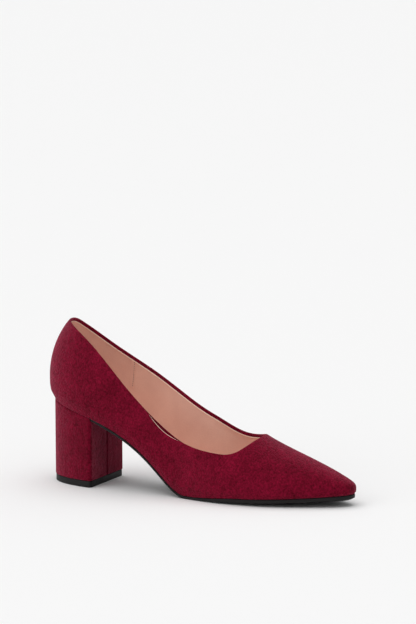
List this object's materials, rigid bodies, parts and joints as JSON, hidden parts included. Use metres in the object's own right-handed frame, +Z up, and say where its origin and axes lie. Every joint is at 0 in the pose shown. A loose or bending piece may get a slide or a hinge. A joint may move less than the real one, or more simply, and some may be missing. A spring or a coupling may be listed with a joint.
{
  "type": "block heel pump",
  "caption": "Closed pump for the right foot with a pointed toe, a low topline and a covered block heel on a black wearing piece.",
  "frame": {"origin": "on the floor, under the middle of the shoe's plan", "axes": "+X to the toe, -Y to the outer side of the foot, +Z up"},
  "size_m": [0.254, 0.0716, 0.1274],
  "materials": {
    "suede": "wine red suede with short nap",
    "heel_cover": "wine red suede with short nap",
    "sock": "smooth matt, pale tan",
    "sole": "black, satin",
    "lift": "black, satin"
  },
  "bodies": {
    "root": {"upper": "suede", "outsole": "sole", "insole": "sock", "heel": "heel_cover", "top_lift": "lift"}
  },
  "joints": []
}
